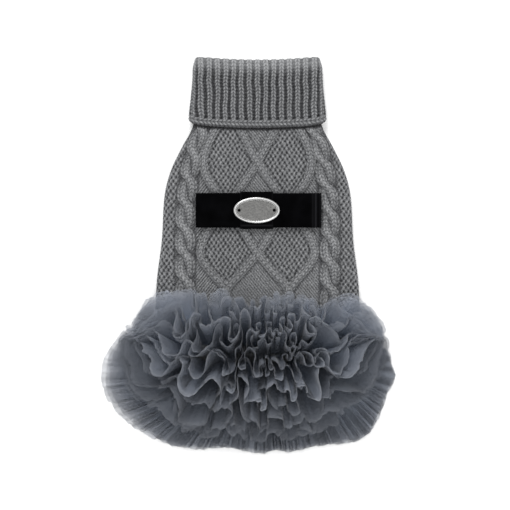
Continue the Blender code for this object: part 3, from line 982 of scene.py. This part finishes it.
def tier_sheet(tier, along, out, tilt, reach):
    """The ruffle before it meanders: points, and the directions of its cloth."""
    spoke, length = tier_spoke(tier, along, tilt)
    sheet = seam_point(along, tier.row_y, tier.end_rise) + spoke * (length * reach * out)[..., None]
    sink = TIER_DROOP + look_of(tier).edge_sink + look_of(tier).side_sink * np.abs(along) ** 4
    sheet[..., 2] -= sink * out**2
    return sheet, spoke, length


def moving_average(values, window):
    """Values smoothed over a window of steps, straight through both ends."""
    half = window // 2
    head = 2 * values[0] - values[half:0:-1]
    tail = 2 * values[-1] - values[-2:-half - 2:-1]
    weights = np.hanning(2 * half + 3)[1:-1]
    return np.convolve(np.concatenate([head, values, tail]), weights / weights.sum(), "valid")


def edge_meander(tier, seed):
    """The cut edge of a gathered strip, which winds in loops of uneven curves, walked at even steps.

    Returns its place along the seam, its swing to the side in metres, and where the seam holds it.
    """
    grid = np.linspace(-1, 1, 401)
    flat_edge = tier_sheet(tier, grid, np.ones_like(grid), 0.0, 1.0)[0]
    pace = np.linalg.norm(np.gradient(flat_edge, grid, axis=0), axis=1)
    walked = np.arange(MOST_STEPS) * EDGE_STEP
    swing_noise = wander(walked, seed, 0.085)
    length_noise = wander(walked, seed + 1, 0.10)
    drift_noise = wander(walked, seed + 2, 0.14)
    along, turned, side = -1.0, 0.3 * seed, 0.0
    places, lengths, swings = np.array(WAVES).T
    calmness = look_of(tier).calmness
    track = []
    for i in range(MOST_STEPS):
        calm = min(1.0, (1.03 - abs(along)) / 0.25)
        swing = np.interp(along, places, swings) * (1 + 0.16 * swing_noise[i])
        swing = min(swing / calmness**0.4, MOST_SWING) * calm
        wave = np.interp(along, places, lengths) * math.exp(0.45 * length_noise[i]) * calmness
        turned += 2 * math.pi * EDGE_STEP / wave
        heading = swing * math.sin(turned) + 0.35 * drift_noise[i] * calm
        along += math.cos(heading) * EDGE_STEP / np.interp(along, grid, pace)
        side += math.sin(heading) * EDGE_STEP
        track.append((along, side))
        if along >= 1:
            break
    along, side = np.array(track).T
    window = int(SEAM_WINDOW / EDGE_STEP)
    held = moving_average(along, window)
    side = side - moving_average(side, 2 * window)
    held = np.clip((held - held[0]) / (held[-1] - held[0]) * 2 - 1, -1, 1)
    return np.clip(along, -1, 1), side, held


def lying_height(x, y):
    """The lowest height that tulle can have over the knit, the lowest ruffle or the table."""
    over_knit = back_top(x, y) + ROOM_OVER_KNIT
    edge = np.minimum(body_half_width(y) - np.abs(x), y - HEM_Y)
    return mix(ROOM_OVER_TABLE, over_knit, ease(edge / 0.012 + 0.3))


def tier_reach(tier, ply, held, walked, own_seed, at_ends):
    """How far a ply's cut edge reaches, as a share of its solid: points, tongues and rounded ends."""
    pair, twin = divmod(ply, 2)
    away = np.abs(held)
    top = tier is TIERS[-1]
    reach = 1 - (0.05 * twin + 0.04 * pair) * (mix(1.0, 0.35, at_ends) if top else 1.0)
    points_out = 0.45 - np.abs(wander(walked, own_seed + 9, POINT_PITCH))
    points_out = points_out + 0.30 * (0.45 - np.abs(wander(walked, own_seed + 12, 0.33 * POINT_PITCH)))
    uneven = 0.06 * wander(walked, own_seed + 6, 0.16) + PETAL_UNEVEN * points_out
    reach = reach * (1 + uneven * ease((1.02 - away) / 0.3))
    reach = reach * (0.7 + 0.3 * dome(np.clip((away - 0.965) / 0.035, 0, 1)))
    if top:
        reach = reach * read_straight(TONGUES, "reach", held)
    reach = np.minimum(reach, 1.22 if top else 1.05)
    stretch = np.where(held < 0, look_of(tier).left_stretch, look_of(tier).right_stretch)
    stretch = stretch * ease((away - 0.88) / 0.10)
    return reach * (1 + stretch)


def tier_values(tier, held, out, length, at_ends):
    """What the net looks like over a ply: its cut edge, how dense it is, and the painted light and shade that
    scale its colour.
    """
    away = np.abs(held)
    top = tier is TIERS[-1]
    shaded = TIERS.index(tier) < 2
    cut = ease((out - 1) * length / CUT_EDGE + 1)
    sideways = ease((away - 0.45) / 0.45)
    rim = cut * mix(1.0, 0.55, sideways) * (0.6 if shaded else 1.0)
    sheer = mix(0.36, 1.0, at_ends) if top else 1.0
    sheer = sheer * mix(1.0, 0.74, ease((away - 0.62) / 0.36))
    sheer = sheer * mix(1.0, mix(1.0, 0.92 if top else 0.70, ease((out - 0.6) / 0.4)), sideways)
    sheer = mix(sheer, 1.0, mix(0.30, 0.55, sideways) * cut)
    # Painted light and shade: at the sides lighter near the seam and a little darker at the cut edge, the
    # highest ruffle lighter away from its ends, and the two lowest darker.
    painted_light = mix(mix(0.98, 1.55, sideways), mix(0.98, 0.89, sideways), np.clip(out / 0.8, 0, 1))
    painted_light = painted_light * (mix(TOP_PAINTED_LIGHT, 1.0, at_ends) if top else 1.0) * (0.56 if shaded else 1.0)
    return {"rim": rim, "sheer": sheer, "painted_light": painted_light}


def tier_ply(tier, ply, seed):
    """One ply of a ruffle, gathered by the seam and winding in loops at its cut edge; pairs lean apart."""
    pair, twin = divmod(ply, 2)
    own_seed = seed + 40 * pair
    edge_along, edge_side, held = edge_meander(tier, own_seed)
    away = np.abs(held)
    walked = np.arange(len(held)) * EDGE_STEP
    out = (np.linspace(0, 1, TIER_ROWS) ** 0.9)[:, None]
    open_share = out**0.85
    along = np.clip(held + (edge_along - held) * open_share, -1, 1)
    own = 0.0014 * wander(walked, own_seed + 31 * twin + 5, 0.030)
    own = own + 0.0016 * (0.4 - np.abs(wander(walked, own_seed + 17 * twin + 6, 0.017)))
    side = (edge_side * (1 - 0.06 * twin) + own + TWIN_GAP * (twin - 0.5)) * open_share
    low_seam = abs(90 - tier.lift) > 55
    lean = PAIR_LEAN * (0.4 if low_seam else 1.0)
    sway = LEAN_WANDER * ease((1 - away) / 0.4) * (0.5 if low_seam else 1.0)
    tilt = lean * (2 * pair - 1) + 0.05 * twin + sway * wander(held, own_seed + 3, 0.42)
    at_ends = ease((away - 0.79) / 0.14)
    reach = tier_reach(tier, ply, held, walked, own_seed, at_ends)
    reach, out, tilt = np.broadcast_arrays(reach, out, tilt)
    sheet, spoke, length = tier_sheet(tier, along, out, tilt, reach)
    after, before = (tier_sheet(tier, along + nudge, out, tilt, reach)[0] for nudge in (0.004, -0.004))
    facing = unit(np.cross(unit(after - before), spoke))
    gathers = np.sin(2 * np.pi * walked / GATHER_PITCH + 2 * wander(walked, own_seed + 8, 0.05))
    near_end = ease((1 - away) / 0.25)
    gathers = gathers * near_end * (GATHER_DEPTH * ease(out / 0.15) * (1 - out) ** 1.6)
    points = sheet + facing * (side + gathers)[..., None]
    off_seam = ease(out / 0.12)
    low = lying_height(points[..., 0], points[..., 1]) + ROOM_PER_PLY * ply
    low = mix(root_height(tier, held)[None, :], low, off_seam)
    above = points[..., 2] - low
    sunk = LANDING_SINK * (1 - np.exp(np.minimum(above, 0) / 0.012)) * off_seam
    points[..., 2] = low + LANDING * np.logaddexp(0, np.clip(above / LANDING, -30, 60)) - sunk
    values = {"out": out, "strip": walked, **tier_values(tier, held, out, length, at_ends)}
    return {"points": points, **{name: np.broadcast_to(value, out.shape) for name, value in values.items()}}


def base_ply(ply, seed):
    """One ply of the lowest ruffle, which falls over the hem and lies on the table in radial pleats."""
    along, out = np.meshgrid(np.linspace(-1, 1, BASE_COLUMNS), np.linspace(0, 1, BASE_ROWS))
    uneven = 0.012 * wander(along, seed, 0.30) + 0.006 * wander(along, seed + 9, 0.07)
    pale = ease((-along - 0.35) / 0.3)
    trim = read_straight(HEM_TRIMS, "share", along)
    reach = read_table(BASE_SPOKES, "reach", along)
    reach = reach * (0.985 + trim - mix(0.024, 0.045, pale) * ply + uneven)
    bearing = np.radians(read_table(BASE_SPOKES, "bearing", along))
    bearing = bearing + 0.03 * out * wander(along, seed + 1, 0.10)
    root = seam_point(along, BASE_ROW_Y, BASE_END_RISE)
    past_hem = (root[..., 1] - HEM_Y) / np.maximum(np.cos(bearing), 0.01)
    past_side = body_half_width(root[..., 1]) - np.abs(root[..., 0])
    past_side = past_side / np.maximum(np.abs(np.sin(bearing)), 0.01)
    level = np.minimum(past_hem, past_side) + BASE_OVERHANG
    foot = level + (reach - level) * BASE_FALL_SHARE
    run = out * reach
    fall = ease((run - level) / (foot - level))
    fine = np.sin(2 * np.pi * FINE_PLEATS * along + 5 * wander(along, seed + 2, 0.09))
    fine = 2 * ((fine + 1) / 2) ** 2 - 1
    wide = np.sin(2 * np.pi * WIDE_PLEATS * along + 3 * wander(along, seed + 3, 0.15) + 2 * ply)
    grow = ease((run - 0.5 * level) / (reach - 0.5 * level))
    rise = grow * (FINE_PLEAT_RISE * (1 + fine) + WIDE_PLEAT_RISE * (1 + wide)) + 0.0012 * ply
    height = root[..., 2] * (1 - fall) + BASE_REST * fall + rise
    x = root[..., 0] + run * np.sin(bearing)
    points = np.stack([x, root[..., 1] - run * np.cos(bearing), height], -1)
    rim = ease((run - reach) / 0.0012 + 1)
    sheer = mix(1.1, mix(0.85, 0.50, pale), ease((out - 0.55) / 0.45))
    rim = rim * (0.6 if ply == 0 else 0.12)
    # Painted shade and light along the pleats, with some uneven tone; the whole lowest ruffle is painted
    # darker as shade, a little lighter towards its left end.
    pleats = mix(0.36, 0.20, pale) * fine + 0.24 * wander(along, seed + 12, 0.014)
    sheer = mix(sheer * (0.84 - 0.20 * fine), 1.0, 0.6 * rim)
    painted_light = BASE_PAINTED_SHADE * (1 + 0.14 * pale + pleats * ease(out / 0.6))
    strip = along * 0.15 + 2.0 + ply
    return {"points": points, "rim": rim, "out": out, "strip": strip, "sheer": sheer, "painted_light": painted_light}


def make_skirt(material):
    """Yields each ruffle with its node and the flat size of its cloth."""
    base = cloth_object("tulle_base", [base_ply(ply, 10 * ply + 3) for ply in range(BASE_PLIES)], material)
    yield base, "skirt_base", BASE_FLAT
    for number, tier in enumerate(TIERS):
        plies = [tier_ply(tier, ply, 100 * number + 7) for ply in range(TIER_PLIES)]
        ruffle = cloth_object(f"tulle_ruffle_{number + 1}", plies, material)
        strip = sum(ply["points"].shape[1] for ply in plies) * EDGE_STEP
        width = TOP_RUFFLE_WIDTH if tier is TIERS[-1] else RUFFLE_WIDTH
        yield ruffle, tier.name, (round(strip * FLAT_SHARE, 2), width)


# ---------- bow and badge
RIBBON_THICKNESS = 0.0004
# Where the loop's pressed creases lie across it, and how strong their painted highlight is.
CREASES = table("x strength", (0.0525, 0.35), (0.0553, 1.0), (0.0595, 0.30), (-0.0600, 0.25))


def band_section(half_length, half_height, radius, steps):
    """A flattened ribbon loop seen edge on, as runs and heights round it."""
    outline = []
    for corner, (side, level) in enumerate([(1, 1), (-1, 1), (-1, -1), (1, -1)]):
        centre_run = side * (half_length - radius)
        centre_height = level * (half_height - radius)
        for angle in np.linspace(corner * math.pi / 2, (corner + 1) * math.pi / 2, steps + 1):
            outline.append((centre_run + radius * math.cos(angle), centre_height + radius * math.sin(angle)))
    runs = np.array(outline)
    closed = np.concatenate([runs, runs[:1]])
    lengths = np.concatenate([[0], np.cumsum(np.linalg.norm(np.diff(closed, axis=0), axis=1))])
    even = np.linspace(0, lengths[-1], 361)[:-1]
    return np.stack([np.interp(even, lengths, closed[:, 0]), np.interp(even, lengths, closed[:, 1])], -1)


def crease_highlight(points, from_middle, along_x):
    """Where a painted highlight lightens the black cloth: the loop's pressed creases and the wrap's edges."""
    if along_x:
        return sum(bell((points[..., 0] - crease.x) / 0.0008) * crease.strength for crease in CREASES)
    fold = bell((points[..., 1] - points[..., 1].min() - 0.0032) / 0.0008)
    return np.maximum(0.35 * ease((from_middle - 0.90) / 0.08), 0.55 * fold)


def make_band(name, node, along_x, radius, material):
    """A flattened ribbon loop that fills its node's box; returns it with its cloth's flat size."""
    low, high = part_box(node)
    centre, half = middle_and_half(low, high)
    half_run = half.x if along_x else half.y
    half_across = half.y if along_x else half.x
    section = band_section(half_run, half.z, radius, 6)
    across = np.linspace(-1, 1, 25)
    run, side = np.meshgrid(section[:, 0], across)
    height = np.broadcast_to(section[:, 1], run.shape)
    soft = (1 - np.abs(side) ** 8) * 0.0002
    sag = 0.0003 * np.sin(run * 90 + 1.0) * (1 - side**2) * np.sign(height)
    z = centre.z + height * (1 - 0.02 * side**2) + sag + soft * np.sign(height)
    z = np.minimum(z, high.z + 0.0003)
    if along_x:
        y = centre.y + side * half_across * (1 - 0.006 * np.sin(run * 60))
        points = np.stack([centre.x + run, y, z], -1)
    else:
        points = np.stack([centre.x + side * half_across, centre.y + run, z], -1)
    shade = crease_highlight(points, np.abs(side), along_x)
    piece = cloth_object(name, [{"points": points, "shade": shade}], material, closed=True)
    thickness = piece.modifiers.new("ribbon", "SOLIDIFY")
    thickness.thickness = RIBBON_THICKNESS
    thickness.offset = -1.0
    return piece, (4 * half_run + 4 * half.z, 2 * half_across)


def turned_oval(name, low, high, profile, material, steps=160):
    """An oval plate from (scale, inset, height) rows, where the inset is in metres."""
    centre, half = middle_and_half(low, high)
    turns = np.linspace(0, 2 * math.pi, steps, endpoint=False)
    rows = []
    for scale, inset, height in profile:
        rows.append(np.stack([
            centre.x + scale * (half.x - inset) * np.cos(turns),
            centre.y + scale * (half.y - inset) * np.sin(turns),
            np.full_like(turns, height),
        ], -1))
    grid = {"points": np.array(rows), "shade": np.zeros((len(profile), steps))}
    return cloth_object(name, [grid], material, closed=True)


def make_badge(silver, enamel):
    low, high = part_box("badge_plate")
    rim = 0.0024
    recess = 0.0008
    profile = [(1.0, rim + 0.0004, high.z - recess), (1.0, rim, high.z - recess)]
    for angle in np.linspace(math.pi, 0, 15):
        inset = rim / 2 - rim / 2 * math.cos(angle)
        profile.append((1.0, rim - inset, high.z - recess + recess * math.sin(angle)))
    profile += [(1.0, 0.0, low.z + 0.0003), (1.0, 0.0006, low.z)]
    plate = turned_oval("badge_plate_rim", low, high, profile, silver)
    low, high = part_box("badge_inlay")
    profile = [(1.0, 0.0001, low.z), (1.0, 0.0, high.z - 0.0001), (1.0, 0.0002, high.z)]
    for share in np.linspace(0.04, 1.0, 26):
        profile.append((1 - 0.999 * share, 0.0002, high.z + 0.00012 * math.sin(share * math.pi / 2)))
    inlay = turned_oval("badge_enamel_field", low, high, profile, enamel)
    return plate, inlay


def make_knots(thread):
    """The two knots of black thread that sew the badge on, one at each end of its field."""
    low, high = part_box("badge_inlay")
    centre = (low + high) / 2
    radius = 0.0015
    turns = np.linspace(0, 2 * math.pi, 20, endpoint=False)
    knots = []
    for side in (-1, 1):
        x = centre.x + side * ((high.x - low.x) / 2 - 0.0027)
        rows = []
        for angle in np.linspace(0, math.pi / 2 - 0.02, 8):
            ring = radius * math.cos(angle) * (1 + 0.06 * np.sin(5 * turns + side))
            height = np.full_like(turns, high.z + 0.0006 * math.sin(angle))
            rows.append(np.stack([x + ring * np.cos(turns), centre.y + ring * np.sin(turns), height], -1))
        knots.append({"points": np.array(rows), "shade": np.zeros((len(rows), len(turns)))})
    return cloth_object("badge_thread_knots", knots, thread, closed=True)


# ---------- stage
CAMERA_DISTANCE = 1.6
CAMERA_X = -0.0024
VIEW_WIDTH = 0.4896


def make_stage():
    bpy.ops.mesh.primitive_plane_add(size=6.0, location=(0, 0, -0.0005))
    floor = bpy.context.object
    floor.name = "floor"
    material, tree, shader = new_material("pale floor")
    feed(tree, shader, {"Base Color": (0.98, 0.98, 0.98, 1.0), "Roughness": 1.0, "Specular IOR Level": 0.0})
    floor.data.materials.append(material)


def make_light(name, location, size, power):
    """A round lamp that shines at the dress."""
    light = bpy.data.lights.new(name, "AREA")
    light.shape = "DISK"
    light.size = size
    light.energy = power
    lamp = bpy.data.objects.new(name, light)
    lamp.location = location
    lamp.rotation_euler = (-Vector(location)).to_track_quat("-Z", "Y").to_euler()
    bpy.context.scene.collection.objects.link(lamp)


def make_camera():
    camera = bpy.data.cameras.new("camera")
    camera.sensor_width = 36.0
    camera.lens = camera.sensor_width * CAMERA_DISTANCE / VIEW_WIDTH
    eye = bpy.data.objects.new("camera", camera)
    eye.location = (CAMERA_X, 0.0, CAMERA_DISTANCE)
    bpy.context.scene.collection.objects.link(eye)
    bpy.context.scene.camera = eye


def set_world():
    world = bpy.data.worlds.new("soft studio")
    world.use_nodes = True
    background = world.node_tree.nodes["Background"]
    feed(world.node_tree, background, {"Color": (1.0, 1.0, 1.0, 1.0), "Strength": 0.94})
    bpy.context.scene.world = world


def place(piece, node):
    """Join a piece to the frame, in place of its node when it has one."""
    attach(piece, "root")
    if node:
        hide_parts(node)


def main():
    scene = bpy.context.scene
    scene.view_settings.view_transform = "Standard"
    scene.cycles.transparent_max_bounces = 40
    # The many see-through plies make the guide passes noisy, so the picture is smoothed without them.
    scene.cycles.denoising_input_passes = "RGB"
    make_camera()
    set_world()
    make_stage()
    make_light("key", (-0.35, 1.20, 1.60), 0.8, 19.0)
    make_light("top", (0.3, -0.3, 1.9), 1.4, 9.0)
    knit = knit_material()
    tulle = tulle_material()
    back, belly, collar = make_back(knit), make_belly(knit), make_collar(knit)
    for piece, node in ((back, "back_panel"), (belly, "belly_panel"), (collar, "collar")):
        place(piece, node)
    for piece, node, flat in make_skirt(tulle):
        place(piece, node)
    ribbon = ribbon_material()
    for name, along_x, radius in (("loop", True, 0.0021), ("wrap", False, 0.0012)):
        node = f"bow_{name}"
        piece, flat = make_band(f"ribbon_{name}", node, along_x, radius, ribbon)
        place(piece, node)
    plate, inlay = make_badge(silver_material(), enamel_material())
    place(plate, "badge_plate")
    place(inlay, "badge_inlay")
    place(make_knots(ribbon), None)


main()
